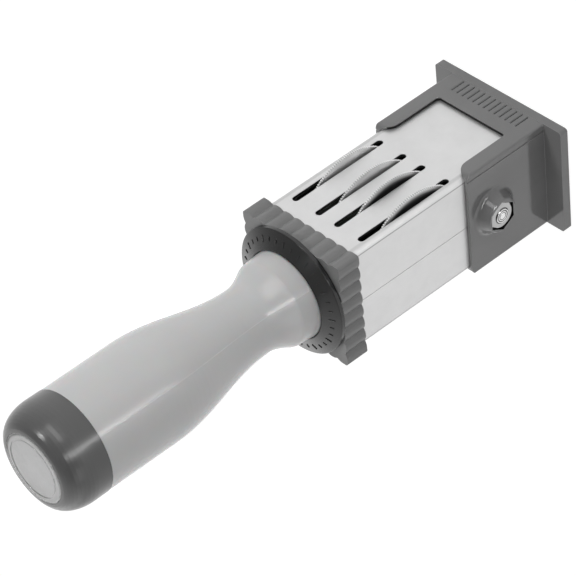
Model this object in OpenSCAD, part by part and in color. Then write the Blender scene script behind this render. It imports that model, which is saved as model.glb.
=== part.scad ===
// Hand-held date stamp. A plunger with four date wheels slides down in a guide foot, and springs
// lift it again. The foot stands on the paper at z = 0, the slotted front faces -Y, the handle is up.

/* [Foot] */
// Width of the ears that the base flange has left and right
ear_w = 6.6; // [3:0.1:12]
// Step of the base flange in front and behind
flange_step = 0.1; // [0:0.05:2]
// Thickness of the base flange
flange_t = 2.8; // [2.2:0.1:3.6]
// Corner radius of the base flange
flange_corner = 1; // [0.4:0.1:2]
// Height of the foot's panels above the bolts
panel_over = 9.4; // [8.8:0.1:14]
// Wall of the side panels, which carry the bolts
foot_side_wall = 1.05; // [0.9:0.05:2]
// Wall of the front and the back of the foot
foot_face_wall = 1.05; // [0.8:0.05:1.1]
// Radius of the foot's upright edges
foot_edge = 0.6; // [0.3:0.05:1.2]
// Height of the sill below each face's cut-out
sill_h = 13.1; // [10:0.1:16]
// Width of each arm beside a cut-out
arm_w = 5; // [4.6:0.1:7]
// Radius of the inner corner of an arm's tip
arm_tip_r = 4.5; // [1:0.1:4.5]
// Radius of the side panels' upper corners
panel_tip_r = 1.8; // [0.5:0.1:2.4]
// Radius of the corners at the bottom of a cut-out
sill_corner = 1; // [0.4:0.1:2]
// Play between the casing and the foot on each side
slide_gap = 0.15; // [0.1:0.01:0.3]
// Distance of the print window's ends inside the side plates
window_in = 0.3; // [0.1:0.1:1.5]
// Play of the bands in the print window, in front and behind
window_gap = 1.1; // [0.4:0.1:1.6]

/* [Finger grooves] */
// Number of grooves on each sill
groove_count = 13; // [5:1:14]
// Distance between two grooves
groove_pitch = 2.1; // [1.6:0.05:2.3]
// Width of a groove
groove_w = 0.8; // [0.4:0.05:1.2]
// Depth of a groove
groove_depth = 0.4; // [0.2:0.05:0.6]
// Length of a groove
groove_len = 5.3; // [3:0.1:8]
// Height of a groove's lower end above the flange
groove_lift = 0.5; // [0.2:0.1:1.5]
// Width of the line that sets off each side panel
panel_line_w = 0.35; // [0.2:0.05:0.6]
// Depth of the line that sets off each side panel
panel_line_depth = 0.22; // [0.1:0.02:0.4]
// Distance of that line from the foot's front face
panel_line_in = 2.3; // [1.8:0.1:4]

/* [Guide bolts] */
// Diameter of a guide bolt
bolt_d = 5; // [4:0.1:5.5]
// Gap between a bolt's head and the tie bar below it
bolt_lift = 2.5; // [0.5:0.1:4]
// Diameter of a bolt's head
bolt_head_d = 8; // [7:0.1:9]
// Thickness of a bolt's head
bolt_head_t = 1.2; // [0.8:0.05:1.3]
// Width of a nut across its flats
nut_af = 8; // [7.6:0.1:8.4]
// Thickness of a nut
nut_t = 2.7; // [2:0.1:3.2]
// Gap between a nut and the walls of its pocket
nut_gap = 0.35; // [0.1:0.05:0.5]
// Width of a boss's rim round the pocket's corners
boss_rim = 0.25; // [0.2:0.05:1.5]
// Flare of a boss from its top to the panel
boss_flare = 2; // [0.5:0.05:2.5]
// Height of a boss above the panel
boss_h = 3.7; // [3.5:0.1:4.5]
// Radius of the fillet round a boss
boss_fillet = 0.9; // [0.3:0.1:1.2]

/* [Casing] */
// Width of the casing
casing_w = 34; // [33.6:0.1:36]
// Depth of the casing
casing_d = 33.8; // [33.4:0.1:35]
// Wall of the casing's shells
casing_wall = 0.9; // [0.6:0.05:0.95]
// Outer radius of the casing's corners
casing_corner = 2; // [1.2:0.1:3]
// Gap of the seam between the two shells
seam_gap = 0.16; // [0.05:0.01:0.3]
// Distance of the seam behind the middle
seam_shift = 0.8; // [0:0.1:2]
// Travel of the plunger down to the paper
stroke = 4; // [3.6:0.1:4.6]
// Distance left between the casing and the flange when it is pressed down
floor_gap = 0.2; // [0.1:0.05:0.5]

/* [Slots] */
// Width of a slot
slot_w = 2.2; // [1.8:0.1:2.6]
// Free length of a slot above the wheel in it
slot_free_up = 8.8; // [2:0.1:9]
// Free length of a slot below the wheel in it
slot_free_down = 1.8; // [0.5:0.1:3]

/* [Wheels] */
// Radius of a wheel's disc
wheel_r = 19.2; // [18.5:0.1:24]
// Distance of the wheels' axle in front of the casing's middle
axle_forward = 1; // [0:0.1:1.2]
// Height of the wheels' lowest points above the spring seats
wheel_low_gap = 6.1; // [2:0.1:10]
// Gap between the wheels and the top bridge
wheel_top_gap = 2; // [0.5:0.1:4]
// Gap between the left wheel and the clip beside it
wheel_left_gap = 0.5; // [0.2:0.05:1]
// Length of the spacer beside the right wheel
spacer_w = 2; // [0.5:0.1:4]
// Thickness of a wheel's disc at its rim
disc_t = 0.6; // [0.5:0.05:1.2]
// Number of teeth of a rim's knurl
knurl_count = 160; // [60:2:180]
// Depth of the knurl
knurl_depth = 0.35; // [0.15:0.05:0.6]
// Width of the flat band inside the rim
rim_band = 1.4; // [0.8:0.1:3]
// Depth of the recess inside the rim
disc_recess = 0.15; // [0.05:0.05:0.3]
// Diameter of a hub
hub_d = 11.4; // [9:0.1:11.6]
// Diameter of the axle
axle_d = 3; // [2:0.1:4]

/* [Bands] */
// Thickness of a band
band_t = 1; // [0.6:0.1:1.2]
// Height of the figures on a band
figure_h = 0.9; // [0.5:0.1:1.2]
// Gap between a band and a wheel beside it
band_side_gap = 0.25; // [0.2:0.05:0.5]
// Radial gap between a band and its hub
band_hub_gap = 0.3; // [0.2:0.05:0.5]
// Distance between two figures along a band
figure_pitch = 6; // [4.5:0.25:8]
// Height of a printed figure
digit_h = 4.2; // [3:0.1:5]
// Width of a printed figure
digit_w = 2.4; // [1.8:0.1:2.5]
// Width of a figure's strokes
digit_bar = 0.6; // [0.4:0.05:0.8]

/* [Platen] */
// Thickness of the platen
platen_h = 5.2; // [3:0.1:6]
// Thickness of the pad under the platen
pad_t = 1.5; // [1:0.1:2.5]
// Radius of the pad's lower edges
pad_edge = 1.4; // [0.6:0.1:2]

/* [Inner frame] */
// Thickness of the side plates
plate_t = 0.8; // [0.5:0.05:0.9]
// Distance of the side plates' edges from the casing
plate_edge_gap = 2; // [1.2:0.1:4]
// Gap between a side plate and the casing
plate_gap = 0.2; // [0.1:0.05:0.25]
// Thickness of the top bridge
bridge_t = 1.2; // [0.8:0.1:1.4]
// Thickness of the tie bar
tie_t = 3; // [2:0.1:4]
// Width of the tie bar
tie_w = 4; // [3:0.1:6]
// Distance of the tie bar above the platen
tie_lift = 1.6; // [0.8:0.1:2]
// Thickness of the detent leaves
leaf_t = 0.4; // [0.3:0.05:0.8]
// Gap between a leaf's tip and its hub
leaf_gap = 0.3; // [0.2:0.05:0.5]
// Diameter of the bridge's screws
screw_d = 3; // [2:0.1:4]
// Diameter of the heads of the bridge's screws
screw_head_d = 5.5; // [4.5:0.1:6]
// Thickness of the heads of the bridge's screws
screw_head_t = 1.5; // [1:0.1:1.8]
// Distance of the bridge's screws from the side plates
screw_in = 3.6; // [2.9:0.1:5]
// Distance of the bridge's screws from the bridge's edges
screw_edge = 3.2; // [2:0.1:4]
// Thickness of the axle's clips
clip_t = 0.4; // [0.3:0.02:0.45]
// Diameter of the axle's clips
clip_d = 6; // [5:0.1:8]

/* [Return springs] */
// Clearance of a spring to the casing and to the print window
spring_side_gap = 0.25; // [0.15:0.05:0.8]
// Diameter of the spring wire
wire_d = 0.9; // [0.6:0.05:1]
// Number of curls of a spring
spring_curls = 8; // [5:1:9]
// Height of the spring seats above the paper
seat_z = 24; // [21:0.1:26]
// Thickness of the spring seats
seat_t = 1.2; // [0.8:0.1:2]
// Clearance of the pegs in the springs
peg_gap = 0.55; // [0.2:0.05:1]
// Length of the foot's pegs
peg_h = 7; // [3:0.1:9]
// Length of the seats' pegs
seat_peg_h = 3; // [1.5:0.1:4]

/* [Collar] */
// Overhang of the collar's lobes over the casing, left and right
collar_over_side = 2.2; // [1:0.1:4]
// Overhang of the collar's lobes over the casing, in front and behind
collar_over_front = 0.9; // [0.8:0.1:4]
// Height of the collar
collar_h = 7.6; // [5:0.1:10]
// Corner radius of the collar
collar_corner = 1; // [0.8:0.1:2.4]
// Number of lobes between the corner pads, on the front and on the back
lobes_front = 7; // [3:1:7]
// Number of lobes between the corner pads, on each side
lobes_side = 6; // [3:1:6]
// Width of the pads at the corners of the front and the back
pad_front = 4.3; // [2.5:0.1:8]
// Width of the pads at the corners of each side
pad_side = 4.45; // [2.5:0.05:8]
// Rise of a lobe
lobe_rise = 0.7; // [0.3:0.05:0.75]
// Height of the collar's spigot in the casing
spigot_h = 3.5; // [2.6:0.1:4]
// Gap between the spigot and the casing
spigot_gap = 0.05; // [0.02:0.01:0.1]
// Wall of the neck that carries the ring
neck_wall = 1.9; // [1:0.1:3]
// Height of the neck
neck_h = 1.6; // [1.2:0.1:1.7]

/* [Ring] */
// Wall of the ring round the neck
ring_wall = 2.9; // [1.5:0.1:5]
// Height of the ring's rim
ring_rim_h = 1.6; // [1:0.05:2]
// Height of the whole ring
ring_h = 3.7; // [3.6:0.1:5]
// Radius of the edge at the ring's rim
ring_edge = 0.3; // [0.1:0.05:0.5]
// Gap between the ring and what it holds
ring_gap = 0.1; // [0.05:0.01:0.2]

/* [Handle] */
// Length of the grip from the collar to the cap
grip_h = 81.7; // [74:0.1:90]
// Radius of the grip's thick end
grip_r = 16.1; // [15:0.1:17.5]
// Radius of the grip's waist
waist_r = 10.35; // [9:0.1:12]
// Radius of the grip's shoulder
shoulder_r = 13.8; // [13.6:0.05:14.4]
// Amount by which the shoulder narrows towards its upper edge
shoulder_taper = 0.4; // [0:0.05:1]
// Height of the shoulder's upper edge above the collar
shoulder_h = 9.5; // [6:0.1:11]
// Length of the fall from the shoulder to the waist
fall_len = 8.9; // [7:0.1:14]
// Length of the rise from the waist to the thick end
rise_len = 38; // [30:0.5:50]
// Width of the grip's lip under the ring
grip_lip = 1.4; // [0.6:0.1:3]
// Thickness of the foot of the grip under the ring
grip_foot_h = 1.4; // [1:0.1:1.45]
// Diameter of the handle's stud
stud_d = 8; // [6:0.1:9]
// Length of the stud in the grip
stud_len = 38; // [20:0.5:50]
// Width of the stud's nut across its flats
stud_nut_af = 13; // [11:0.1:14]
// Thickness of the stud's nut
stud_nut_t = 3.6; // [3:0.1:3.9]
// Thickness of the stud's washer
washer_t = 1; // [0.6:0.1:1.2]

/* [Cap] */
// Length of the cap
cap_h = 13.7; // [11:0.1:16]
// Step by which the cap stands proud of the grip
cap_step = 0.15; // [0:0.01:0.4]
// Width of the cap's rounded edge across the handle
cap_round_w = 4.9; // [3:0.1:5]
// Length of the cap's rounded edge along the handle
cap_round_h = 8.8; // [5:0.1:9]
// Wall of the cap round its spigot
cap_wall = 2.5; // [1.5:0.1:4]
// Length of the spigot that carries the cap
cap_spigot_h = 5; // [3:0.1:5.5]
// Width of the flat rim round the clear insert
cap_rim = 0.45; // [0.2:0.05:2]
// Thickness of the clear insert
lens_t = 1.1; // [0.8:0.05:1.6]
// Amount by which the insert stands proud of the cap
lens_proud = 0.2; // [0:0.05:0.4]
// Thickness of the label disc
label_t = 0.5; // [0.3:0.05:1]

/* [Hidden] */
$fn = 96;

// Overrun of every cut past the face that it opens
over = 0.5;
// Clearance of a bolt, screw, stud or axle in its hole
hole_gap = 0.05;
// Clearance round a nut in its pocket
pocket_gap = 0.15;
// Clearance of a bolt's head in the side plate
head_gap = 0.4;
// Clearance between flat faces that almost touch
face_gap = 0.05;
// Bevel of the small fasteners' edges
bevel = 0.35;
// Points of a quarter of a rounded edge
arc_steps = 10;

// Heights above the paper, and the axle's place
casing_z = flange_t + stroke + floor_gap;
axle_y = -axle_forward;
axle_z = seat_z + seat_t + wheel_low_gap + wheel_r;
bridge_z = axle_z + wheel_r + wheel_top_gap;
spigot_z = bridge_z + bridge_t;
casing_top = spigot_z + spigot_h;
casing_h = casing_top - casing_z;
collar_top = casing_top + collar_h;
grip_top = collar_top + grip_h;
cap_top = grip_top + cap_h;
band_z = stroke + figure_h;
pad_z = band_z + band_t;
platen_z = pad_z + pad_t;
tie_z = platen_z + platen_h + tie_lift;
bolt_z = tie_z + tie_t + leaf_t + bolt_lift + bolt_head_d / 2;
foot_h = bolt_z + panel_over;

// Foot
well_w = casing_w + 2 * slide_gap;
well_d = casing_d + 2 * slide_gap;
well_corner = casing_corner + slide_gap;
foot_w = well_w + 2 * foot_side_wall;
foot_d = well_d + 2 * foot_face_wall;
flange_w = foot_w + 2 * ear_w;
flange_d = foot_d + 2 * flange_step;
cut_half = foot_w / 2 - arm_w;
panel_x = foot_w / 2;
boss_x = panel_x + boss_h;
nut_x = boss_x - bevel - nut_t;
nut_r = nut_af / sqrt(3);
boss_top_r = nut_r + nut_gap + boss_rim;
boss_base_r = boss_top_r + boss_flare;

// Casing
inner_w = casing_w - 2 * casing_wall;
inner_d = casing_d - 2 * casing_wall;
inner_corner = max(casing_corner - casing_wall, face_gap);

// Side plates, and the bolts' heads that reach through them
plate_x = inner_w / 2 - plate_gap;
plate_in = plate_x - plate_t;
plate_d = inner_d - 2 * plate_edge_gap;
plate_z = casing_z + floor_gap;
head_x = inner_w / 2 - face_gap - bolt_head_t;
head_half = bolt_head_d / 2 + head_gap;

// Places of the four wheels across the casing, from left to right
wheel_left = clip_t + face_gap + wheel_left_gap + disc_t / 2 - plate_in;
wheel_right = plate_in - clip_t - 3 * face_gap - spacer_w - disc_t / 2;
wheel_inner_share = 0.356;
wheel_step = wheel_inner_share * (wheel_right - wheel_left);
wheel_x = [wheel_left, wheel_left + wheel_step, wheel_right - wheel_step, wheel_right];
// Distance of the axle from the front wall's inner face, and half of the chord that this cuts off
wheel_wall = inner_d / 2 - axle_forward;
wheel_chord = sqrt(wheel_r * wheel_r - wheel_wall * wheel_wall);
slot_up = wheel_chord + slot_free_up;
slot_down = wheel_chord + slot_free_down;
// Ends of the hubs: each one stops short of its neighbour's disc, and the last two share a space
hub_end_gap = 0.2;
year_share = 0.53;
year_from = wheel_x[2] + disc_t / 2;
year_to = wheel_x[3] - disc_t / 2;
year_split = year_from + year_share * (year_to - year_from);
hub_from = [wheel_x[0] + disc_t / 2, wheel_x[1] + disc_t / 2, year_from,
    year_split + hub_end_gap / 2];
hub_to = [wheel_x[1] - disc_t / 2 - hub_end_gap, wheel_x[2] - disc_t / 2 - hub_end_gap,
    year_split - hub_end_gap / 2, year_to];
// The last hub stands in its disc's recess
hub_root = [0, 0, 0, disc_recess];

// Bands
band_in = hub_d / 2 + band_hub_gap;
band_out = band_in + band_t;
band_corner_in = pad_edge + face_gap;
band_corner_out = band_corner_in + band_t;
band_lift = 0.3;
figure_len_share = 0.45;
// Angles of the figures that lie over the hub
top_figures = [-60, 0, 60];
run_figures = floor((axle_z - band_z - band_corner_out - figure_pitch / 2) / figure_pitch);
// Figures on the printing face of each band
band_digits = [[2, 4], [1, 0], [2], [6]];
digit_step = digit_w + digit_bar;
// Strokes of the figures 0 to 9: top, upper left, upper right, middle, lower left, lower right, low
strokes = [
    [1, 1, 1, 0, 1, 1, 1], [0, 0, 1, 0, 0, 1, 0], [1, 0, 1, 1, 1, 0, 1], [1, 0, 1, 1, 0, 1, 1],
    [0, 1, 1, 1, 0, 1, 0], [1, 1, 0, 1, 0, 1, 1], [1, 1, 0, 1, 1, 1, 1], [1, 0, 1, 0, 0, 1, 0],
    [1, 1, 1, 1, 1, 1, 1], [1, 1, 1, 1, 0, 1, 1]];

// Print window
window_w = 2 * (plate_in - window_in);
window_d = 2 * (band_out + figure_h + window_gap + axle_forward);

// Handle and cap
shoulder_edge_r = shoulder_r - shoulder_taper;
grip_foot_r = shoulder_r + grip_lip;
cap_spigot_r = grip_r - cap_wall;
lens_r = grip_r + cap_step - cap_round_w - cap_rim;
lens_groove_share = 0.84;

// Springs
spring_y = (inner_d + window_d) / 4;
spring_d = (inner_d - window_d) / 2 - 2 * spring_side_gap;
peg_d = spring_d - 2 * wire_d - 2 * peg_gap;
coil_r = (spring_d - wire_d) / 2;
spring_from = flange_t + face_gap;
spring_to = seat_z - face_gap;
seat_in = window_d / 2 - face_gap;
rings_per_curl = 8;
wire_sides = 6;

// Bridge screws
screw_x = plate_in - screw_in;
screw_y = plate_d / 2 - screw_edge;

// Collar and ring
collar_w = casing_w + 2 * collar_over_side;
collar_d = casing_d + 2 * collar_over_front;
body_w = collar_w - 2 * lobe_rise;
body_d = collar_d - 2 * lobe_rise;
lobe_pitch_front = (collar_w - 2 * pad_front) / lobes_front;
lobe_pitch_side = (collar_d - 2 * pad_side) / lobes_side;
neck_d = 2 * (grip_foot_r + ring_gap + neck_wall);
ring_d = neck_d + 2 * ring_gap + 2 * ring_wall;
nut_pocket_d = 2 * stud_nut_af / sqrt(3) + 2 * pocket_gap;
washer_d = nut_pocket_d - 2 * pocket_gap;
nut_pocket_top = bridge_z + bridge_t + 2 * pocket_gap + stud_nut_t + washer_t;

// A rounded rectangle about the middle
module round_rect(w, d, r) {
    square([w - 2 * r, d], center = true);
    square([w, d - 2 * r], center = true);
    for (sx = [-1, 1], sy = [-1, 1])
        translate([sx * (w / 2 - r), sy * (d / 2 - r)]) circle(r);
}

// A slot with round ends, upright, from y = -down to y = up
module slot_shape(w, down, up) {
    translate([-w / 2, w / 2 - down]) square([w, up + down - w]);
    for (y = [w / 2 - down, up - w / 2])
        translate([0, y]) circle(w / 2);
}

// A bar along X whose outline is drawn across it, in Y and Z
module along_x(from, to) {
    translate([from, 0, 0]) rotate([90, 0, 90]) linear_extrude(to - from) children();
}

// A round bar along X
module rod_x(from, to, r) {
    translate([from, 0, 0]) rotate([0, 90, 0]) cylinder(r = r, h = to - from);
}

// A hexagonal bar along X with corners to the front and back
module hex_x(from, to, r) {
    translate([from, 0, 0]) rotate([0, 90, 0]) rotate([0, 0, 30])
        cylinder(r = r, h = to - from, $fn = 6);
}

// Foot
module face_cut() {
    rotate([90, 0, 0]) linear_extrude(foot_d + 2 * over, center = true) {
        translate([0, (foot_h + over + sill_h) / 2])
            round_rect(2 * cut_half, foot_h + over - sill_h, sill_corner);
        translate([-cut_half, foot_h - arm_tip_r]) square([2 * cut_half, arm_tip_r + over]);
        for (s = [-1, 1])
            difference() {
                translate([s * (cut_half + arm_tip_r / 2), foot_h - arm_tip_r / 2 + over / 2])
                    square([arm_tip_r, arm_tip_r + over], center = true);
                translate([s * (cut_half + arm_tip_r), foot_h - arm_tip_r]) circle(arm_tip_r);
            }
    }
}

// Rounds off the upper corners of the side panels
module panel_tips() {
    rotate([90, 0, 90]) linear_extrude(foot_w + 2 * over, center = true)
        for (s = [-1, 1])
            difference() {
                translate([s * (foot_d - panel_tip_r + over) / 2, foot_h - (panel_tip_r - over) / 2])
                    square(panel_tip_r + over, center = true);
                translate([s * (foot_d / 2 - panel_tip_r), foot_h - panel_tip_r])
                    circle(panel_tip_r);
            }
}

module boss() {
    slope = boss_flare / boss_h;
    fillet = [for (i = [0:arc_steps])
        let (a = 90 * i / arc_steps)
        [boss_base_r + boss_fillet * (1 - sin(a)) - slope * boss_fillet * (1 - cos(a)),
            boss_fillet * (1 - cos(a))]];
    rotate([0, 90, 0]) rotate_extrude()
        polygon(concat([[0, -over]], [[boss_base_r + boss_fillet, -over]], fillet,
            [[boss_top_r + bevel * slope, boss_h - bevel], [boss_top_r - bevel / 2, boss_h], [0, boss_h]]));
}

module grooves() {
    for (i = [0:groove_count - 1])
        translate([(i - (groove_count - 1) / 2) * groove_pitch, foot_d / 2, flange_t + groove_lift])
            linear_extrude(groove_len)
                polygon([[-groove_w / 2, over], [-groove_w / 2, 0], [0, -groove_depth],
                    [groove_w / 2, 0], [groove_w / 2, over]]);
}

module foot_frame() {
    color("dimgray") {
        difference() {
            union() {
                linear_extrude(flange_t) round_rect(flange_w, flange_d, flange_corner);
                linear_extrude(foot_h) round_rect(foot_w, foot_d, foot_edge);
                for (s = [0, 1])
                    mirror([s, 0, 0]) translate([panel_x, 0, bolt_z]) boss();
            }
            translate([0, 0, flange_t]) linear_extrude(foot_h)
                round_rect(well_w, well_d, well_corner);
            translate([0, 0, -over]) linear_extrude(flange_t + 2 * over)
                round_rect(window_w, window_d, sill_corner);
            face_cut();
            panel_tips();
            for (s = [0, 1])
                mirror([s, 0, 0]) translate([0, 0, bolt_z]) {
                    rod_x(well_w / 2 - over, boss_x + over, bolt_d / 2 + hole_gap);
                    hex_x(nut_x, boss_x + over, nut_r + nut_gap);
                }
            for (s = [0, 1])
                mirror([0, s, 0]) grooves();
            for (s = [-1, 1])
                translate([s * panel_x, panel_line_in - foot_d / 2, flange_t])
                    translate([0, 0, foot_h / 2])
                        cube([2 * panel_line_depth, panel_line_w, foot_h], center = true);
        }
        for (s = [-1, 1])
            translate([0, s * spring_y, flange_t - over])
                cylinder(d = peg_d, h = peg_h + over);
    }
}

module guide_bolt() {
    color("silver") translate([0, 0, bolt_z]) {
        rod_x(head_x, head_x + bolt_head_t, bolt_head_d / 2);
        rod_x(head_x, boss_x - bevel, bolt_d / 2);
        translate([boss_x - bevel, 0, 0]) rotate([0, 90, 0])
            cylinder(r1 = bolt_d / 2, r2 = bolt_d / 2 - bevel, h = bevel);
    }
}

module guide_nut() {
    color("silver") translate([0, 0, bolt_z]) difference() {
        intersection() {
            hex_x(nut_x, nut_x + nut_t, nut_r);
            translate([nut_x, 0, 0]) rotate([0, 90, 0]) rotate_extrude()
                polygon([[0, 0], [nut_r, 0], [nut_r, nut_t - bevel], [nut_af / 2 - bevel / 2, nut_t],
                    [0, nut_t]]);
        }
        rod_x(nut_x - over, nut_x + nut_t + over, bolt_d / 2 + hole_gap);
    }
}

// Return springs
// A point of the wire's middle: straight up, round the curls, and straight up again
function wire_point(i, n) =
    let (rise = spring_to - spring_from - 2 * wire_d,
        k = min(max(i - 1, 0), n),
        a = 360 * k / rings_per_curl,
        z = i == 0 ? 0 : (i > n + 1 ? rise + 2 * wire_d : wire_d + rise * k / n))
    [coil_r * cos(a), coil_r * sin(a), z];

// The wire's cross-section at a point, square to the wire
function wire_ring(i, n) =
    let (p = wire_point(i, n),
        rise = spring_to - spring_from - 2 * wire_d,
        a = 360 * min(max(i - 1, 0), n) / rings_per_curl,
        climb = (i <= 0 || i > n + 1) ? 90 : atan(rise / (n / rings_per_curl) / (2 * PI * coil_r)),
        out = [cos(a), sin(a), 0],
        up = [sin(a) * sin(climb), -cos(a) * sin(climb), cos(climb)])
    [for (j = [0:wire_sides - 1])
        let (b = 360 * j / wire_sides)
        p + wire_d / 2 * (cos(b) * out + sin(b) * up)];

// Least gap of the wire to itself, half a curl away or more
function wire_gap(n) = min([for (i = [0:n + 2], j = [i + rings_per_curl / 2:n + 2])
    norm(wire_point(i, n) - wire_point(j, n))]) - wire_d;

module wire_tube() {
    n = spring_curls * rings_per_curl;
    echo(str("return spring, least gap between its curls in mm: ", wire_gap(n)));
    count = n + 3;
    points = [for (i = [0:count - 1]) each wire_ring(i, n)];
    sides = [for (i = [0:count - 2], j = [0:wire_sides - 1])
        let (a = i * wire_sides + j, b = i * wire_sides + (j + 1) % wire_sides)
        each [[a, b, b + wire_sides], [a, b + wire_sides, a + wire_sides]]];
    caps = [for (j = [1:wire_sides - 2])
        each [[0, j + 1, j],
            [(count - 1) * wire_sides, (count - 1) * wire_sides + j,
                (count - 1) * wire_sides + j + 1]]];
    polyhedron(points = points, faces = concat(sides, caps));
}

module return_spring() {
    color("silver") translate([0, -spring_y, spring_from]) wire_tube();
}

module spring_seat() {
    color("silver") {
        translate([-plate_in, -inner_d / 2 + face_gap, seat_z])
            cube([2 * plate_in, inner_d / 2 - face_gap - seat_in, seat_t]);
        translate([0, -spring_y, seat_z - seat_peg_h])
            cylinder(d = peg_d, h = seat_peg_h + seat_t);
    }
}

// Casing
// The shell on one side of the seam: -1 in front, 1 behind
module casing_shell(side) {
    color("gainsboro") difference() {
        translate([0, 0, casing_z]) linear_extrude(casing_h) difference() {
            round_rect(casing_w, casing_d, casing_corner);
            round_rect(inner_w, inner_d, inner_corner);
            translate([0, seam_shift - side * (casing_d - seam_gap) / 2])
                square([2 * casing_w, casing_d], center = true);
        }
        for (x = wheel_x)
            translate([x, side * casing_d / 2, axle_z]) rotate([90, 0, 0])
                linear_extrude(2 * casing_wall + 2 * over, center = true)
                    slot_shape(slot_w, slot_down, slot_up);
        for (s = [-1, 1])
            translate([s * casing_w / 2, 0, bolt_z]) rotate([90, 0, 90])
                linear_extrude(2 * casing_wall + 2 * over, center = true)
                    slot_shape(bolt_d + 2 * slide_gap, bolt_d / 2 + slide_gap,
                        stroke + bolt_d / 2 + slide_gap);
    }
}

// Collar
// The tops of a row of lobes that stand on a face, with one more at each end for the corners
module lobe_row(count, pitch, face) {
    lobe_r = (pitch * pitch / 4 + lobe_rise * lobe_rise) / (2 * lobe_rise);
    intersection() {
        translate([0, face]) square([2 * collar_w, 2 * lobe_rise], center = true);
        for (i = [-1:count])
            translate([(i - (count - 1) / 2) * pitch, face + lobe_rise - lobe_r]) circle(lobe_r);
    }
}

module collar_outline() {
    corner_x = (lobes_front + 1) * lobe_pitch_front / 2;
    corner_y = (lobes_side + 1) * lobe_pitch_side / 2;
    intersection() {
        round_rect(collar_w, collar_d, collar_corner);
        union() {
            square([body_w, body_d], center = true);
            for (s = [0, 1]) {
                mirror([0, s]) lobe_row(lobes_front, lobe_pitch_front, body_d / 2);
                rotate(90 + 180 * s) lobe_row(lobes_side, lobe_pitch_side, body_w / 2);
            }
            difference() {
                round_rect(collar_w, collar_d, collar_corner);
                square([2 * corner_x, 2 * collar_d], center = true);
                square([2 * collar_w, 2 * corner_y], center = true);
            }
        }
    }
}

module collar() {
    color("gray") difference() {
        union() {
            translate([0, 0, casing_top]) linear_extrude(collar_h) collar_outline();
            translate([0, 0, spigot_z]) linear_extrude(spigot_h + over)
                round_rect(inner_w - 2 * spigot_gap, inner_d - 2 * spigot_gap, inner_corner);
            translate([0, 0, collar_top - over]) cylinder(d = neck_d, h = neck_h + over);
        }
        translate([0, 0, collar_top]) cylinder(r = grip_foot_r + ring_gap, h = neck_h + over);
        translate([0, 0, spigot_z - over])
            cylinder(d = nut_pocket_d, h = nut_pocket_top - spigot_z + over);
        translate([0, 0, spigot_z - over])
            cylinder(d = stud_d + 2 * hole_gap, h = spigot_h + collar_h + 2 * over);
        for (sx = [-1, 1], sy = [-1, 1])
            translate([sx * screw_x, sy * screw_y, spigot_z - over])
                cylinder(d = screw_d + 2 * hole_gap, h = spigot_h + over + face_gap);
    }
}

module lock_ring() {
    outer = ring_d / 2;
    bore = shoulder_r + ring_gap;
    thread = neck_d / 2 + ring_gap;
    roof = neck_h + ring_gap;
    foot = face_gap;
    color([0.12, 0.12, 0.12]) translate([0, 0, collar_top]) rotate_extrude()
        polygon([[thread, foot], [outer - ring_edge, foot], [outer, foot + ring_edge],
            [outer, ring_rim_h - ring_edge / 2], [outer - ring_edge, ring_rim_h],
            [bore + ring_edge, ring_h], [bore, ring_h - ring_edge], [bore, roof], [thread, roof]]);
}

// Handle
// Half a wave from 0 to 1, for the soft slopes of the grip
function ease(t) = (1 - cos(180 * t)) / 2;

module handle_grip() {
    waist_from = shoulder_h + fall_len;
    rise_to = waist_from + rise_len;
    step = 1 / arc_steps / 2;
    fall = [for (t = [step:step:1 - step / 2])
        [shoulder_edge_r + (waist_r - shoulder_edge_r) * sin(90 * t), shoulder_h + fall_len * t]];
    rise = [for (t = [0:step:1])
        [waist_r + (grip_r - waist_r) * ease(t), waist_from + rise_len * t]];
    color("lightgray") translate([0, 0, collar_top]) difference() {
        rotate_extrude() polygon(concat(
            [[0, 0], [grip_foot_r, 0], [grip_foot_r, grip_foot_h], [shoulder_r, grip_foot_h],
                [shoulder_r, ring_h], [shoulder_edge_r, shoulder_h - ring_edge]],
            fall, rise,
            [[grip_r, max(grip_h, rise_to)], [cap_spigot_r, max(grip_h, rise_to)],
                [cap_spigot_r, grip_h + cap_spigot_h], [0, grip_h + cap_spigot_h]]));
        translate([0, 0, -over]) cylinder(d = stud_d + 2 * hole_gap, h = stud_len + 2 * over);
    }
}

module handle_cap() {
    outer = grip_r + cap_step;
    edge = [for (i = [0:arc_steps])
        let (a = 90 * i / arc_steps)
        [outer - cap_round_w * (1 - cos(a)), cap_h - cap_round_h * (1 - sin(a))]];
    seat = cap_h - lens_t - label_t + lens_proud;
    socket_r = cap_spigot_r + hole_gap;
    color("dimgray") translate([0, 0, grip_top]) difference() {
        rotate_extrude() polygon(concat([[0, face_gap], [outer - face_gap, face_gap]], edge,
            [[0, cap_h]]));
        translate([0, 0, -over]) cylinder(r = socket_r, h = cap_spigot_h + face_gap + over);
        translate([0, 0, seat]) cylinder(r = lens_r + face_gap, h = cap_h);
    }
}

module cap_disc() {
    color("whitesmoke") translate([0, 0, cap_top - lens_t - label_t + lens_proud])
        cylinder(r = lens_r - face_gap, h = label_t);
}

module cap_lens() {
    from = cap_top - lens_t + lens_proud;
    groove_r = lens_r * lens_groove_share;
    color([0.85, 0.87, 0.88, 0.5]) translate([0, 0, from]) difference() {
        rotate_extrude() polygon([[0, 0], [lens_r, 0], [lens_r, lens_t - lens_proud],
            [lens_r - lens_proud, lens_t], [0, lens_t]]);
        translate([0, 0, lens_t - lens_proud]) difference() {
            cylinder(r = groove_r, h = lens_t);
            translate([0, 0, -over]) cylinder(r = groove_r - 2 * lens_proud, h = lens_t + 2 * over);
        }
    }
}

module handle_stud() {
    color("silver") translate([0, 0, bridge_z + bridge_t + pocket_gap])
        cylinder(d = stud_d, h = collar_top + stud_len - bridge_z - bridge_t - pocket_gap);
}

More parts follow.
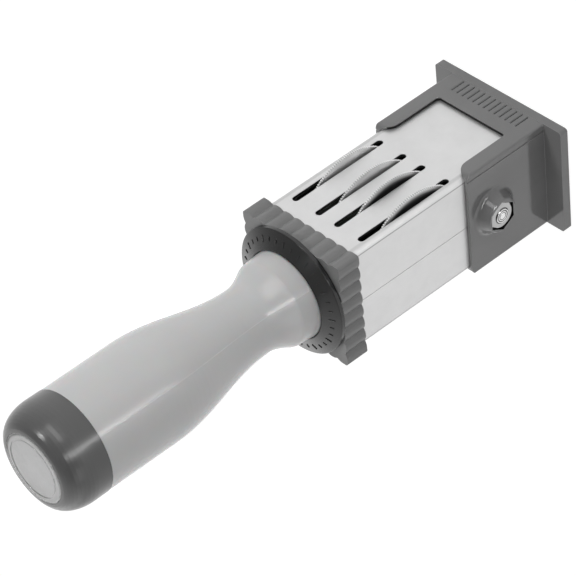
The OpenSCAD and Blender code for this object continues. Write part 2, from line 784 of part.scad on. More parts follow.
module stud_nut() {
    color("silver") translate([0, 0, nut_pocket_top - washer_t - stud_nut_t]) difference() {
        cylinder(r = stud_nut_af / sqrt(3), h = stud_nut_t, $fn = 6);
        translate([0, 0, -over]) cylinder(d = stud_d + 2 * hole_gap, h = stud_nut_t + 2 * over);
    }
}

module stud_washer() {
    color("silver") translate([0, 0, nut_pocket_top - washer_t]) difference() {
        cylinder(d = washer_d, h = washer_t);
        translate([0, 0, -over]) cylinder(d = stud_d + 2 * hole_gap, h = washer_t + 2 * over);
    }
}

// Sets a piece of the wheels' group, drawn about the middle, on the axle's line
module on_axle() {
    translate([0, axle_y, 0]) children();
}

// Inner frame
module top_bridge() {
    color("silver") difference() {
        translate([-plate_x, -plate_d / 2, bridge_z]) cube([2 * plate_x, plate_d, bridge_t]);
        for (sx = [-1, 1], sy = [-1, 1])
            translate([sx * screw_x, sy * screw_y, bridge_z - over])
                cylinder(d = screw_d + 2 * hole_gap, h = bridge_t + 2 * over);
    }
}

module bridge_screws() {
    color("silver") for (sx = [-1, 1], sy = [-1, 1])
        translate([sx * screw_x, sy * screw_y, bridge_z]) {
            cylinder(d = screw_d, h = bridge_t + spigot_h);
            translate([0, 0, -screw_head_t]) cylinder(d = screw_head_d, h = screw_head_t);
        }
}

module side_plate() {
    color("silver") difference() {
        translate([plate_in, -plate_d / 2, plate_z]) cube([plate_t, plate_d, bridge_z - plate_z]);
        translate([0, axle_y, axle_z])
            rod_x(plate_in - over, plate_x + over, axle_d / 2 + hole_gap);
        translate([plate_in - over, 0, bolt_z]) rotate([90, 0, 90])
            linear_extrude(plate_t + 2 * over)
                slot_shape(2 * head_half, head_half, stroke + head_half);
    }
}

module tie_bar() {
    color("silver") translate([-plate_in, -tie_w / 2, tie_z]) cube([2 * plate_in, tie_w, tie_t]);
}

module detent_comb() {
    leaf_top = axle_z - hub_d / 2 - leaf_gap - leaf_t;
    color("goldenrod") {
        translate([hub_from[0] + band_side_gap, -tie_w / 2, tie_z + tie_t])
            cube([hub_to[3] - hub_from[0] - 2 * band_side_gap, tie_w, leaf_t]);
        for (i = [0:3])
            along_x(hub_from[i] + 2 * band_side_gap, hub_to[i] - 2 * band_side_gap) {
                translate([-leaf_t / 2, tie_z + tie_t]) square([leaf_t, leaf_top - tie_z - tie_t]);
                translate([0, leaf_top]) circle(leaf_t);
            }
    }
}

module platen() {
    color("silver") translate([-plate_in, -band_in + face_gap, platen_z])
        cube([2 * plate_in, 2 * band_in - 2 * face_gap, platen_h]);
}

module platen_pad() {
    half = band_in - face_gap;
    color("black") along_x(hub_from[0] - face_gap, hub_to[3] + face_gap) {
        translate([-half, pad_z + pad_edge]) square([2 * half, pad_t - pad_edge]);
        translate([-half + pad_edge, pad_z]) square([2 * half - 2 * pad_edge, pad_t]);
        for (s = [-1, 1])
            intersection() {
                translate([s * (half - pad_edge), pad_z + pad_edge]) circle(pad_edge);
                translate([-half, pad_z]) square([2 * half, pad_t]);
            }
    }
}

module wheel_axle() {
    color("silver") translate([0, 0, axle_z]) rod_x(-plate_x, plate_x, axle_d / 2);
}

module axle_clip(s) {
    from = s > 0 ? plate_in - clip_t - face_gap : -plate_in + face_gap;
    color("silver") translate([0, 0, axle_z]) difference() {
        rod_x(from, from + clip_t, clip_d / 2);
        rod_x(from - over, from + clip_t + over, axle_d / 2 + hole_gap);
    }
}

module axle_spacer() {
    from = wheel_x[3] + disc_t / 2 + face_gap;
    to = plate_in - clip_t - 2 * face_gap;
    color("ivory") translate([0, 0, axle_z]) difference() {
        rod_x(from, to, clip_d / 2);
        rod_x(from - over, to + over, axle_d / 2 + hole_gap);
    }
}

// Bands
module loop_shape(half, low, corner) {
    translate([0, axle_z]) circle(half);
    translate([-half, low + corner]) square([2 * half, axle_z - low - corner]);
    translate([corner - half, low]) square([2 * half - 2 * corner, corner + over]);
    for (s = [-1, 1])
        translate([s * (half - corner), low + corner]) circle(corner);
}

// One stroke of a figure, from its middle
module stroke_bar(at, size) {
    translate([at[0] - size[0] / 2, at[1] - size[1] / 2, stroke])
        cube([size[0], size[1], figure_h + band_t / 2]);
}

// A printing figure, drawn as it prints on the paper
module figure(d, x) {
    s = strokes[d];
    w = digit_w - digit_bar;
    h = digit_h - digit_bar;
    across = [digit_w, digit_bar];
    upright = [digit_bar, h / 2 + digit_bar];
    if (s[0]) stroke_bar([x, h / 2], across);
    if (s[1]) stroke_bar([x - w / 2, h / 4], upright);
    if (s[2]) stroke_bar([x + w / 2, h / 4], upright);
    if (s[3]) stroke_bar([x, 0], across);
    if (s[4]) stroke_bar([x - w / 2, -h / 4], upright);
    if (s[5]) stroke_bar([x + w / 2, -h / 4], upright);
    if (s[6]) stroke_bar([x, -h / 2], across);
}

module date_band(k) {
    from = hub_from[k] + band_side_gap;
    to = hub_to[k] - band_side_gap;
    mid = (from + to) / 2;
    digits = band_digits[k];
    figure_len = figure_pitch * figure_len_share;
    color([0.2, 0.2, 0.22]) {
        difference() {
            along_x(from, to) loop_shape(band_out, band_z, band_corner_out);
            along_x(from - over, to + over) loop_shape(band_in, pad_z, band_corner_in);
        }
        for (s = [-1, 1], i = [1:run_figures])
            translate([mid, s * (band_out + figure_h / 2 - band_t / 4),
                    band_z + band_corner_out + i * figure_pitch - figure_pitch / 2])
                cube([to - from - 2 * band_lift, figure_h + band_t / 2, figure_len], center = true);
        for (a = top_figures)
            translate([mid, 0, axle_z]) rotate([a, 0, 0])
                translate([0, 0, band_out + figure_h / 2 - band_t / 4])
                    cube([to - from - 2 * band_lift, figure_len, figure_h + band_t / 2],
                        center = true);
        for (i = [0:len(digits) - 1])
            figure(digits[i], mid + (i - (len(digits) - 1) / 2) * digit_step);
    }
}

// Wheels
module wheel_disc(k) {
    rim = [for (i = [0:2 * knurl_count - 1])
        let (a = 180 * i / knurl_count, r = wheel_r - (i % 2) * knurl_depth)
        [r * cos(a), r * sin(a)]];
    color("lightgray") translate([wheel_x[k] - disc_t / 2, 0, axle_z]) difference() {
        rotate([90, 0, 90]) linear_extrude(disc_t) polygon(rim);
        rod_x(-over, disc_recess, wheel_r - rim_band - knurl_depth);
        rod_x(-over, disc_t + over, axle_d / 2 + hole_gap);
    }
}

module wheel_hub(k) {
    color("ivory") translate([0, 0, axle_z]) difference() {
        rod_x(hub_from[k], hub_to[k] + hub_root[k], hub_d / 2);
        rod_x(hub_from[k] - over, hub_to[k] + hub_root[k] + over, axle_d / 2 + hole_gap);
    }
}

foot_frame();
mirror([1, 0, 0]) guide_bolt();  // guide_bolt_left
guide_bolt();  // guide_bolt_right
mirror([1, 0, 0]) guide_nut();  // guide_nut_left
guide_nut();  // guide_nut_right
return_spring();  // return_spring_front
rotate([0, 0, 180]) return_spring();  // return_spring_back
casing_shell(-1);  // casing_front
casing_shell(1);  // casing_back
collar();
lock_ring();
handle_grip();
handle_cap();
cap_lens();
cap_disc();
handle_stud();
stud_nut();
stud_washer();
top_bridge();
bridge_screws();
mirror([1, 0, 0]) side_plate();  // side_plate_left
side_plate();  // side_plate_right
on_axle() tie_bar();
on_axle() detent_comb();
on_axle() platen();
on_axle() platen_pad();
on_axle() wheel_axle();
on_axle() axle_clip(-1);  // axle_clip_left
on_axle() axle_clip(1);  // axle_clip_right
on_axle() axle_spacer();
spring_seat();  // spring_seat_front
mirror([0, 1, 0]) spring_seat();  // spring_seat_back
on_axle() date_band(0);  // date_band_1
on_axle() date_band(1);  // date_band_2
on_axle() date_band(2);  // date_band_3
on_axle() date_band(3);  // date_band_4
on_axle() wheel_disc(0);  // wheel_disc_1
on_axle() wheel_disc(1);  // wheel_disc_2
on_axle() wheel_disc(2);  // wheel_disc_3
on_axle() wheel_disc(3);  // wheel_disc_4
on_axle() wheel_hub(0);  // wheel_hub_1
on_axle() wheel_hub(1);  // wheel_hub_2
on_axle() wheel_hub(2);  // wheel_hub_3
on_axle() wheel_hub(3);  // wheel_hub_4
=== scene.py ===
"""Looks of the hand-held date stamp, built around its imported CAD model. Metres, foot on z = 0."""
import math

import bmesh
import bpy
from mathutils import Matrix, Vector


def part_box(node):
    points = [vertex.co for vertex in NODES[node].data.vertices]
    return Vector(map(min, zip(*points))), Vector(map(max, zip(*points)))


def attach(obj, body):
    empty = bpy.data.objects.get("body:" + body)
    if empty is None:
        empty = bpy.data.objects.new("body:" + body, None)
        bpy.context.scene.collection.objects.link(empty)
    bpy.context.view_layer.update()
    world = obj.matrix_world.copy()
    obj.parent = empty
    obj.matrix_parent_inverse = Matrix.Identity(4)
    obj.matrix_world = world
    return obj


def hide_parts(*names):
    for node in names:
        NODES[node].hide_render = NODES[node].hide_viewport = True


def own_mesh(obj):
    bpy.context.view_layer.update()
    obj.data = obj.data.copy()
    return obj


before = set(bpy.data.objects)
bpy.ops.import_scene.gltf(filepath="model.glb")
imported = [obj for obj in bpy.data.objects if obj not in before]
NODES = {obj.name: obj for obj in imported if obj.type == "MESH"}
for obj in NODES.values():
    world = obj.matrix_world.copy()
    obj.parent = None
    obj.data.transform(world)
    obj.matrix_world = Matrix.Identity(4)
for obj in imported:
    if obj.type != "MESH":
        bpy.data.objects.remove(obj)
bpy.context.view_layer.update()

MM = 0.001


def middle(name, axis):
    """Middle of a node's box along one axis."""
    low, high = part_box(name)
    return (low[axis] + high[axis]) / 2


# Measures of the CAD model that the finishes and the small extra pieces follow.
# The wheels and their axle:
AXLE_Y = middle("wheel_axle", 1)
AXLE_Z = middle("wheel_axle", 2)
WHEEL_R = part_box("wheel_disc_1")[1].z - AXLE_Z
WHEEL_TEETH = 160
# The foot, with its bolts, its nuts and their pockets:
BOLT_Z = middle("guide_nut_left", 2)
NUT_X = -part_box("guide_nut_left")[0].x
POCKET_R = 5.05 * MM
# The casing, the thickness of its sheet, and the middle and half of its slots' height:
CASING_FRONT = -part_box("casing_front")[0].y
CASING_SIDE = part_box("casing_front")[1].x
SHELL = 0.9 * MM
SLOT_Z = AXLE_Z + 3.5 * MM
SLOT_HALF = 18 * MM
# The lock ring, its rim's height, and how far its sloping top reaches in from the rim:
RING_LOW, RING_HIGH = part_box("lock_ring")
RING_RIM = 1.6 * MM
RING_SLOPE = 5.9 * MM

# Azimuth of the grip's mould line about the handle's axis, in degrees
MOULD_LINE = -143.0


def grey(share):
    """The linear colour of a neutral grey that is written as a share of white on the screen."""
    level = share / 12.92 if share <= 0.04045 else ((share + 0.055) / 1.055) ** 2.4
    return even(level)


def even(level):
    """The colour whose red, green and blue are all at one linear level."""
    return (level, level, level, 1)


class Graph:
    """A node tree, with helpers that add a node and return what it gives out."""

    def __init__(self, tree):
        self.tree = tree
        tree.nodes.clear()

    def node(self, kind, inputs=None, **settings):
        """Adds a node. inputs holds a value or another node's output for each of its sockets."""
        made = self.tree.nodes.new(kind)
        for name, value in settings.items():
            setattr(made, name, value)
        for name, value in (inputs or {}).items():
            self.join(made.inputs[name], value)
        return made

    def join(self, socket, value):
        if isinstance(value, bpy.types.NodeSocket):
            self.tree.links.new(value, socket)
        else:
            socket.default_value = value

    def math(self, operation, a, b=0.0, clamp=False):
        return self.node(
            "ShaderNodeMath", {0: a, 1: b}, operation=operation, use_clamp=clamp
        ).outputs[0]

    def times(self, *factors):
        total = factors[0]
        for factor in factors[1:]:
            total = self.math("MULTIPLY", total, factor)
        return total

    def span(self, value, low, high, to_low, to_high, curve="LINEAR"):
        """Maps low to high onto to_low to to_high, and stays there beyond them."""
        ends = {"From Min": low, "From Max": high, "To Min": to_low, "To Max": to_high}
        return self.node(
            "ShaderNodeMapRange", {"Value": value, **ends}, interpolation_type=curve
        ).outputs[0]

    def tones(self, value, *stops):
        """Colours along a value: stops are (place, colour)."""
        ramp = self.node("ShaderNodeValToRGB", {"Fac": value})
        elements = ramp.color_ramp.elements
        while len(elements) < len(stops):
            elements.new(0.5)
        for element, (at, colour) in zip(elements, stops):
            element.position, element.color = at, colour
        return ramp.outputs[0]

    def split(self, vector):
        parts = self.node("ShaderNodeSeparateXYZ", {"Vector": vector}).outputs
        return parts[0], parts[1], parts[2]

    def seen(self):
        """1 for a ray from the camera, off a glossy surface or through a clear one, else 0."""
        rays = self.node("ShaderNodeLightPath").outputs
        total = rays["Is Camera Ray"]
        for name in ("Is Glossy Ray", "Is Transmission Ray"):
            total = self.math("ADD", total, rays[name], clamp=True)
        return total

    def mixed(self, share, a, b):
        """Shader a, and shader b by its share."""
        return self.node("ShaderNodeMixShader", {0: share, 1: a, 2: b}).outputs[0]


class Surface(Graph):
    """A node material: a Principled shader, with helpers that add textures in object space."""

    def __init__(self, name, **shader):
        self.name = name
        self.material = bpy.data.materials.new(name)
        self.material.use_nodes = True
        super().__init__(self.material.node_tree)
        self.shader = self.node("ShaderNodeBsdfPrincipled")
        for socket, value in shader.items():
            self.put(socket.replace("_", " "), value)
        self.node("ShaderNodeOutputMaterial", {"Surface": self.shader.outputs["BSDF"]})
        self.place = self.node("ShaderNodeTexCoord").outputs["Object"]
        self.normal = None
        self.colour = None

    def put(self, socket, value):
        self.join(self.shader.inputs[socket], value)

    def paint(self, colour):
        """Sets the base colour, and remembers it for what is laid over it."""
        self.colour = colour
        self.put("Base Color", colour)

    def blend(self, share, a, b):
        """Colour a, and colour b by its share."""
        mix = self.node("ShaderNodeMix", data_type="RGBA")
        for index, value in ((0, share), (6, a), (7, b)):
            self.join(mix.inputs[index], value)
        return mix.outputs[2]

    def lay(self, mask, tone, share):
        """Lays a grey over the base colour, where the mask is 1 by its whole share."""
        self.paint(self.blend(self.times(mask, share), self.colour, grey(tone)))

    def stretch(self, scale, turn=(0, 0, 0)):
        """The place with its axes turned and scaled."""
        return self.node(
            "ShaderNodeMapping", {"Vector": self.place, "Rotation": turn, "Scale": scale}
        ).outputs[0]

    def noise(self, size, detail=3.0, rough=0.5, place=None, distortion=0.0):
        """Cloudy noise whose features are about size metres across."""
        return self.node(
            "ShaderNodeTexNoise",
            {
                "Vector": place or self.place,
                "Scale": 1 / size,
                "Detail": detail,
                "Roughness": rough,
                "Distortion": distortion,
            },
        ).outputs[0]

    def axes(self):
        return self.split(self.place)

    def radius(self, a, b):
        """Distance from the axis on which a and b are 0."""
        return self.math("SQRT", self.math("ADD", self.times(a, a), self.times(b, b)))

    def within(self, value, half, soft):
        """1 where value is nearer to 0 than half, 0 beyond half + soft."""
        return self.span(self.math("ABSOLUTE", value), half, half + soft, 1, 0)

    def band(self, value, at, half, soft):
        """1 where value lies within half of at, 0 further than half + soft away."""
        return self.within(self.math("SUBTRACT", value, at), half, soft)

    def rounded(self, radius):
        """The normal with the sharp edges rounded."""
        return self.node("ShaderNodeBevel", {"Radius": radius}, samples=6).outputs[0]

    def soft_edges(self, radius):
        """Rounds the shading of the sharp edges."""
        self.normal = self.rounded(radius)
        self.put("Normal", self.normal)

    def bump(self, height, depth, strength=1.0):
        """Raises the skin by a height from 0 to 1 times depth, over what is there already."""
        inputs = {"Height": height, "Distance": depth, "Strength": strength}
        if self.normal:
            inputs["Normal"] = self.normal
        self.normal = self.node("ShaderNodeBump", inputs).outputs[0]
        self.put("Normal", self.normal)


def moulded(name, tone, rough, specular=0.5, edge=0.15, cloud=0.03, **shader):
    """Moulded plastic: faint clouds in the colour, a fine skin, handling marks in the gloss."""
    s = Surface(name, Specular_IOR_Level=specular, IOR=1.5, **shader)
    flow = s.noise(14 * MM, 2, 0.55, s.stretch((1, 1, 0.35)), distortion=0.6)
    s.paint(s.tones(flow, (0.1, grey(tone - cloud)), (0.9, grey(tone + cloud))))
    # All of a gloss lies on one side of a roughness of 0.27, where the denoiser shows an edge
    smudge = s.noise(9 * MM, 2, 0.5)
    s.put("Roughness", s.span(smudge, 0.1, 0.9, rough * 0.85, rough * 1.18))
    s.soft_edges(edge * MM)
    s.bump(s.noise(2.4 * MM, 1, 0.4), depth=0.006 * MM)
    return s


def painted_edge_highlights(s, radius, tone):
    """Lightens a plastic along its edges, as a painted highlight."""
    flat = s.node("ShaderNodeNewGeometry").outputs["True Normal"]
    along = s.node("ShaderNodeVectorMath", {0: s.rounded(radius), 1: flat}, operation="DOT_PRODUCT")
    edge = s.span(along.outputs["Value"], 0.99, 0.85, 0, 1)
    s.lay(edge, tone, 0.6)


def foot_finish():
    """Dark grey plastic, with painted shade beside the casing and round the nuts, and painted
    highlights along its edges.
    """
    gloss = 0.55
    s = moulded("foot_plastic", tone=0.49, rough=0.11, edge=0.22, specular=gloss)
    # Painted highlights along the foot's edges
    painted_edge_highlights(s, 0.25 * MM, tone=0.66)
    x, y, z = s.axes()
    # Painted shade in the gap between the casing's front or back and the foot, above the flange's
    # underside
    outward = s.math("SUBTRACT", s.math("ABSOLUTE", y), CASING_FRONT + 0.45 * MM)
    gap = s.times(
        s.within(outward, 0.42 * MM, 0.08 * MM),
        s.within(x, 14.6 * MM, 0.2 * MM),
        s.span(z, 0.5 * MM, 1 * MM, 0, 1),
    )
    # Painted shade in the pocket round each nut
    out = s.radius(y, s.math("SUBTRACT", z, BOLT_Z))
    pocket = s.times(
        s.within(out, POCKET_R, 0.05 * MM), s.within(x, NUT_X + 0.2 * MM, 0.05 * MM)
    )
    # The painted shade is laid near black and loses most of its gloss
    dark = s.math("MAXIMUM", gap, pocket)
    s.paint(s.blend(dark, s.colour, grey(0.12)))
    s.put("Specular IOR Level", s.span(dark, 0, 1, gloss, 0.1))
    return s


def collar_finish():
    """The foot's plastic with less gloss."""
    s = moulded("collar_plastic", tone=0.49, rough=0.34, edge=0.22, cloud=0.02)
    # Painted highlights along the collar's edges
    painted_edge_highlights(s, 0.3 * MM, tone=0.68)
    return s


def grip_finish():
    """Pale plastic with the line where the two halves of its mould met, raised in the bump, with a
    painted highlight along it.
    """
    s = moulded(
        "grip_plastic", tone=0.83, rough=0.23, edge=0.35, cloud=0.005,
        Subsurface_Weight=0.2, Subsurface_Scale=2.5 * MM,
    )
    x, y, z = s.axes()
    line = s.band(s.math("ARCTAN2", y, x), math.radians(MOULD_LINE), 0.006, 0.008)
    wander = s.span(s.noise(9 * MM, 2), 0.35, 0.65, 0.35, 1)
    line = s.times(line, wander)
    # Painted highlight: the mould line's colour is lightened
    s.lay(line, tone=0.97, share=0.55)
    s.bump(line, depth=0.05 * MM, strength=0.8)
    return s


def metal(name, tone, rough, metallic=1.0, edge=0.1, along=None, grain=0.004):
    """Metal with fine drawing marks along one axis and clouded gloss."""
    s = Surface(name, Metallic=metallic)
    scale = [1, 1, 1]
    if along is not None:
        scale[along] = 0.04
    marks = s.noise(0.25 * MM, 3, 0.6, s.stretch(scale))
    cloud = s.noise(7 * MM, 3, 0.6)
    s.paint(s.tones(cloud, (0.3, grey(tone - 0.012)), (0.7, grey(tone + 0.012))))
    gloss = s.span(marks, 0.3, 0.7, rough * 0.9, rough * 1.12)
    s.put("Roughness", s.math("ADD", gloss, s.span(cloud, 0.3, 0.7, -0.03, 0.03)))
    s.soft_edges(edge * MM)
    s.bump(marks, grain * MM)
    return s


def casing_finish():
    """Satin aluminium: painted shade lines beside the bent corners, and painted shade over the
    inside, slots included.
    """
    shine = 0.75
    s = metal(
        "casing_metal", tone=0.85, rough=0.42, metallic=shine, edge=0.18, along=2, grain=0.003
    )
    x, y, z = s.axes()
    aside, afore = s.math("ABSOLUTE", x), s.math("ABSOLUTE", y)
    # Painted shade: thin darker lines where the bent corners meet the flat faces
    bend_shade = s.times(
        s.band(afore, CASING_FRONT - 1.55 * MM, 0.1 * MM, 0.12 * MM),
        s.span(aside, CASING_SIDE - 0.5 * MM, CASING_SIDE - 0.4 * MM, 0, 1),
    )
    crease_shade = s.times(
        s.band(aside, CASING_SIDE - 1.75 * MM, 0.3 * MM, 0.5 * MM),
        s.span(afore, CASING_FRONT - 0.5 * MM, CASING_FRONT - 0.4 * MM, 0, 1),
    )
    s.lay(bend_shade, tone=0.56, share=0.8)
    s.lay(crease_shade, tone=0.7, share=0.5)
    # Painted shade over the inside of the shells: near black and not metallic
    behind = SHELL - 0.03 * MM
    inside = s.times(
        s.within(x, CASING_SIDE - behind, 0.05 * MM), s.within(y, CASING_FRONT - behind, 0.05 * MM)
    )
    # Painted shade on the cut walls of the slots, but for a bright lip
    lip, corner = 0.25 * MM, 2.2 * MM
    slots = s.times(
        s.within(x, CASING_SIDE - corner, 0.05 * MM),
        s.within(y, CASING_FRONT - lip, 0.1 * MM),
        s.band(z, SLOT_Z, SLOT_HALF, 0.1 * MM),
    )
    black = s.math("MAXIMUM", inside, slots)
    s.lay(black, tone=0.15, share=1)
    s.put("Metallic", s.span(black, 0, 1, shine, 0))
    return s


def bolt_finish():
    """Bright steel with the turned rings of a bolt's end."""
    s = metal("bolt_steel", tone=0.86, rough=0.24, edge=0.08)
    x, y, z = s.axes()
    out = s.radius(y, s.math("SUBTRACT", z, BOLT_Z))
    rings = []
    for at, half, tone in ((2.38, 0.1, 0.2), (1.75, 0.12, 0.3), (1.15, 0.08, 0.5)):
        rings.append(s.band(out, at * MM, half * MM, 0.12 * MM))
        s.lay(rings[-1], tone, share=0.9)
    s.bump(s.math("SUBTRACT", 1.0, s.math("MAXIMUM", rings[1], rings[2])), depth=0.1 * MM)
    return s


def wheel_finish(name, dark):
    """Plated thumbwheel: teeth with painted glints on their tips, and in them a face that is plain,
    or dark in the middle and lighter toward the teeth.
    """
    s = metal(name, tone=0.95, rough=0.25, metallic=0.9, edge=0.06)
    x, y, z = s.axes()
    y, z = s.math("SUBTRACT", y, AXLE_Y), s.math("SUBTRACT", z, AXLE_Z)
    out = s.radius(y, z)
    inside = s.span(out, WHEEL_R - 0.5 * MM, WHEEL_R - 0.38 * MM, 1, 0)
    if dark:
        # The face is dark in the middle and lighter toward the teeth
        shade = s.span(out, WHEEL_R - 2.6 * MM, WHEEL_R - 0.6 * MM, 0, 1)
        face = s.tones(shade, (0.0, grey(0.2)), (0.45, grey(0.42)), (1.0, grey(0.88)))
    else:
        face = s.tones(s.noise(4 * MM, 2, 0.5), (0.3, grey(0.88)), (0.7, grey(0.93)))
    # Painted glints: the tip of each tooth is lightened to white, its valley left grey
    tooth = s.math("COSINE", s.times(s.math("ARCTAN2", z, y), WHEEL_TEETH))
    teeth = s.tones(s.span(tooth, -1, 1, 0, 1), (0.1, grey(0.75)), (0.4, grey(1.0)))
    s.paint(s.blend(inside, teeth, face))
    s.put("Metallic", s.span(inside, 0, 1, 0.2, 0.5 if dark else 0.85))
    s.put("Specular IOR Level", s.span(inside, 0, 1, 0.6, 0.25))
    turned = s.math("SINE", s.times(out, 2 * math.pi / (0.22 * MM)))
    gloss = s.span(turned, -1, 1, 0.24, 0.3)
    s.put("Roughness", s.math("ADD", gloss, s.span(inside, 0, 1, 0, 0.25)))
    return s


def lens_finish():
    """Clear insert."""
    s = Surface("lens_clear", Transmission_Weight=1.0, IOR=1.49)
    s.paint(even(1))
    s.put("Roughness", s.span(s.noise(3 * MM, 4), 0.35, 0.7, 0.03, 0.09))
    s.soft_edges(0.12 * MM)
    s.bump(s.noise(1.5 * MM, 2), depth=0.004 * MM)
    return s


def label_finish():
    """Plain satin card under the insert, a little mottled."""
    s = Surface("label_paper", Specular_IOR_Level=0.3)
    fibre = s.noise(0.5 * MM, 4, 0.65, s.stretch((1, 0.4, 1), turn=(0, 0, 0.6)))
    cloud = s.noise(4 * MM, 2)
    card = s.tones(fibre, (0.3, grey(0.91)), (0.7, grey(0.95)))
    s.paint(s.blend(s.span(cloud, 0.4, 0.7, 0, 0.18), card, grey(0.85)))
    s.put("Roughness", s.span(cloud, 0.3, 0.7, 0.5, 0.6))
    s.bump(fibre, depth=0.01 * MM)
    return s


def rubber(name, tone, rough):
    """Moulded rubber with a dusty, slightly worn skin."""
    s = Surface(name, Specular_IOR_Level=0.35)
    dust = s.noise(1.2 * MM, 5, 0.65)
    s.paint(s.tones(dust, (0.35, grey(tone)), (0.75, grey(tone + 0.07))))
    s.put("Roughness", s.span(dust, 0.3, 0.7, rough * 0.9, rough * 1.15))
    s.soft_edges(0.08 * MM)
    s.bump(s.noise(0.2 * MM, 3), depth=0.01 * MM)
    return s


FINISHES = {
    surface.name: surface.material
    for surface in (
        foot_finish(),
        collar_finish(),
        moulded("ring_plastic", tone=0.15, rough=0.2, edge=0.3, cloud=0.008),
        grip_finish(),
        moulded("cap_plastic", tone=0.36, rough=0.23, edge=0.2, cloud=0.01),
        moulded("hub_plastic", tone=0.24, rough=0.4, cloud=0.01),
        casing_finish(),
        bolt_finish(),
        wheel_finish("wheel_dark", dark=True),
        wheel_finish("wheel_bright", dark=False),
        metal("nut_steel", tone=0.67, rough=0.2),
        metal("steel", tone=0.8, rough=0.3),
        metal("plate_steel", tone=0.45, rough=0.4, along=2),
        metal("spring_wire", tone=0.78, rough=0.25),
        metal("leaf_brass", tone=0.8, rough=0.3, edge=0.05),
        lens_finish(),
        label_finish(),
        rubber("pad_rubber", tone=0.16, rough=0.7),
        rubber("band_rubber", tone=0.2, rough=0.6),
    )
}

NODES_WITH = {
    "foot_plastic": ["foot_frame"],
    "collar_plastic": ["collar"],
    "ring_plastic": ["lock_ring"],
    "grip_plastic": ["handle_grip"],
    "cap_plastic": ["handle_cap"],
    "hub_plastic": ["axle_spacer"] + [f"wheel_hub_{k}" for k in (1, 2, 3, 4)],
    "casing_metal": ["casing_front", "casing_back"],
    "bolt_steel": ["guide_bolt_left", "guide_bolt_right"],
    "wheel_dark": ["wheel_disc_1", "wheel_disc_2"],
    "wheel_bright": ["wheel_disc_3", "wheel_disc_4"],
    "nut_steel": ["guide_nut_left", "guide_nut_right"],
    "steel": [
        "handle_stud", "stud_nut", "stud_washer", "bridge_screws",
        "wheel_axle", "axle_clip_left", "axle_clip_right",
    ],
    "plate_steel": [
        "top_bridge", "side_plate_left", "side_plate_right", "tie_bar",
        "platen", "spring_seat_front", "spring_seat_back",
    ],
    "spring_wire": ["return_spring_front", "return_spring_back"],
    "leaf_brass": ["detent_comb"],
    "lens_clear": ["cap_lens"],
    "label_paper": ["cap_disc"],
    "pad_rubber": ["platen_pad"],
    "band_rubber": [f"date_band_{k}" for k in (1, 2, 3, 4)],
}
FINISH_OF = {name: finish for finish, names in NODES_WITH.items() for name in names}

for name, node in NODES.items():
    node.data.materials.clear()
    node.data.materials.append(FINISHES[FINISH_OF[name]])
# The clear insert lets the light through to its label
NODES["cap_lens"].visible_shadow = False


def finished(name, mesh, body, finish):
    """Puts a new piece in the scene, on its body, with its finish, which is also its slot."""
    piece = bpy.data.objects.new(name, mesh)
    bpy.context.scene.collection.objects.link(piece)
    mesh.materials.clear()
    mesh.materials.append(FINISHES[finish])
    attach(piece, body)
    return piece


def ring_ticks():
    """Plain raised index ticks on the ring's sloping top, every third one longer."""
    count, long, short = 36, 1.9 * MM, 1.2 * MM
    half_width, high, sunk = 0.14 * MM, 0.12 * MM, 0.1 * MM
    outer = RING_HIGH.x
    bore = outer - RING_SLOPE
    rim_z = RING_LOW.z + RING_RIM
    rise = (RING_HIGH.z - rim_z) / (outer - bore)
    at = (outer + bore) / 2 + 0.1 * MM
    # A tick's corners: the bottom's four and then the top's, of each the two of the inner end first
    faces = ((0, 1, 3, 2), (4, 6, 7, 5), (0, 4, 5, 1), (2, 3, 7, 6), (0, 2, 6, 4), (1, 5, 7, 3))
    mesh = bpy.data.meshes.new("ring_ticks")
    bm = bmesh.new()
    for i in range(count):
        turn = Matrix.Rotation(2 * math.pi * i / count, 4, "Z")
        length = long if i % 3 == 0 else short
        corners = []
        for lift, width in ((-sunk, half_width), (high, half_width * 0.6)):
            for r in (at - length / 2, at + length / 2):
                for side in (-1, 1):
                    z = rim_z + (outer - r) * rise + lift
                    corners.append(bm.verts.new(turn @ Vector((r, side * width, z))))
        for face in faces:
            bm.faces.new([corners[j] for j in face])
    bmesh.ops.recalc_face_normals(bm, faces=bm.faces)
    bm.to_mesh(mesh)
    bm.free()
    finished("ring_ticks", mesh, "plunger", "ring_plastic")


def shortening_spring(side):
    """One return spring again, as a piece on the foot with its own copy of the mesh, in place of
    the CAD spring, which is hidden.
    """
    name = f"return_spring_{side}"
    spring = finished(f"spring_{side}", NODES[name].data.copy(), "foot", "spring_wire")
    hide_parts(name)
    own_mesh(spring)


ring_ticks()
shortening_spring("front")
shortening_spring("back")


def camera():
    """Looks at the stamp as the photograph does, from above its front left, the handle near."""
    data = bpy.data.cameras.new("camera")
    data.lens = 220.25
    data.sensor_width = 36
    data.clip_start, data.clip_end = 0.05, 40
    place = Vector((-0.5682615, -0.6418539, 0.5488673))
    right = Vector((-0.68372947, 0.08345788, -0.72494744))
    up = Vector((0.43732646, -0.74841347, -0.49862095))
    back = Vector((-0.58417428, -0.65796054, 0.475214))
    made = bpy.data.objects.new("camera", data)
    turn = Matrix((right, up, back)).transposed().to_4x4()
    made.matrix_world = Matrix.Translation(place) @ turn
    bpy.context.scene.collection.objects.link(made)
    bpy.context.scene.camera = made


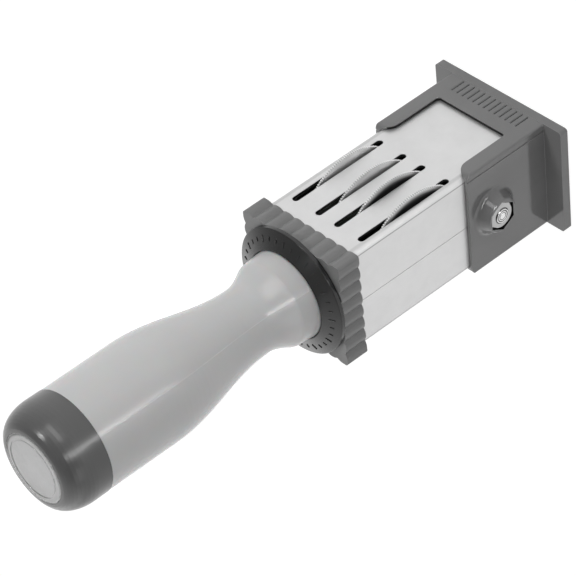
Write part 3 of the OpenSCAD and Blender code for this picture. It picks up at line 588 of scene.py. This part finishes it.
def lamp(name, azimuth, elevation, distance, aim_z, size, glow, only_shine=False):
    """A soft box that looks at the axis at height aim_z, in degrees and metres.
    glow is how bright it looks, as a multiple of white. It can shine in gloss alone."""
    width, height = size
    data = bpy.data.lights.new(name, "AREA")
    data.shape = "RECTANGLE"
    data.size, data.size_y = width, height
    data.energy = glow * math.pi * width * height
    around, over = math.radians(azimuth), math.radians(elevation)
    level = math.cos(over)
    away = Vector((math.cos(around) * level, math.sin(around) * level, math.sin(over)))
    aim = Vector((0, 0, aim_z))
    made = bpy.data.objects.new(name, data)
    made.location = aim + distance * away
    made.rotation_mode = "QUATERNION"
    made.rotation_quaternion = (aim - made.location).to_track_quat("-Z", "Y")
    made.visible_camera = False
    made.visible_diffuse = not only_shine
    bpy.context.scene.collection.objects.link(made)


def lights():
    lamp("key", -98, 18, 1.2, aim_z=0.09, size=(0.85, 0.4), glow=2.75)
    lamp("side", 168, 14, 1.2, aim_z=0.09, size=(0.6, 0.45), glow=1.0)
    lamp("spark", -72, 47, 0.8, aim_z=0.15, size=(0.14, 0.14), glow=30)
    lamp("streak", -150, 0, 0.3, aim_z=0.175, size=(0.034, 0.34), glow=11, only_shine=True)


def floor():
    """A pale floor, white where the camera or a reflection meets it, but for the shadow."""
    mesh = bpy.data.meshes.new("floor")
    bm = bmesh.new()
    bmesh.ops.create_grid(bm, x_segments=1, y_segments=1, size=9)
    bm.to_mesh(mesh)
    bm.free()
    made = bpy.data.objects.new("floor", mesh)
    made.location.z = -0.2 * MM
    bpy.context.scene.collection.objects.link(made)
    material = bpy.data.materials.new("floor")
    material.use_nodes = True
    mesh.materials.append(material)
    g = Graph(material.node_tree)
    plain = g.node("ShaderNodeBsdfDiffuse", {"Color": even(0.8)}).outputs[0]
    faint = g.node("ShaderNodeBsdfDiffuse", {"Color": even(0.3)}).outputs[0]
    glow = g.node("ShaderNodeEmission", {"Strength": 0.9}).outputs[0]
    both = g.node("ShaderNodeAddShader", {0: faint, 1: glow}).outputs[0]
    g.node("ShaderNodeOutputMaterial", {"Surface": g.mixed(g.seen(), plain, both)})


def studio():
    """Pale surroundings, lighter low down and behind, darker at the left."""
    world = bpy.data.worlds.new("studio")
    bpy.context.scene.world = world
    world.use_nodes = True
    g = Graph(world.node_tree)
    x, y, z = g.split(g.node("ShaderNodeTexCoord").outputs["Generated"])

    def shade(left, *stops):
        """The level at (height, level) stops, and what is added to it at the far left."""
        level = g.tones(z, *[(at, even(tone)) for at, tone in stops])
        level = g.math("ADD", level, g.span(y, 0.1, 0.9, 0, 1, "SMOOTHSTEP"))
        level = g.math("ADD", level, g.span(x, -1, -0.3, left, 0, "SMOOTHSTEP"))
        return g.node("ShaderNodeBackground", {"Strength": level}).outputs[0]

    lit = shade(-0.25, (0.0, 0.5), (0.35, 0.34), (0.8, 0.2))
    looked_at = shade(-0.5, (0.15, 1.0), (0.5, 0.62), (0.9, 0.4))
    g.node("ShaderNodeOutputWorld", {"Surface": g.mixed(g.seen(), lit, looked_at)})


camera()
lights()
floor()
studio()
bpy.context.scene.view_settings.view_transform = "Standard"
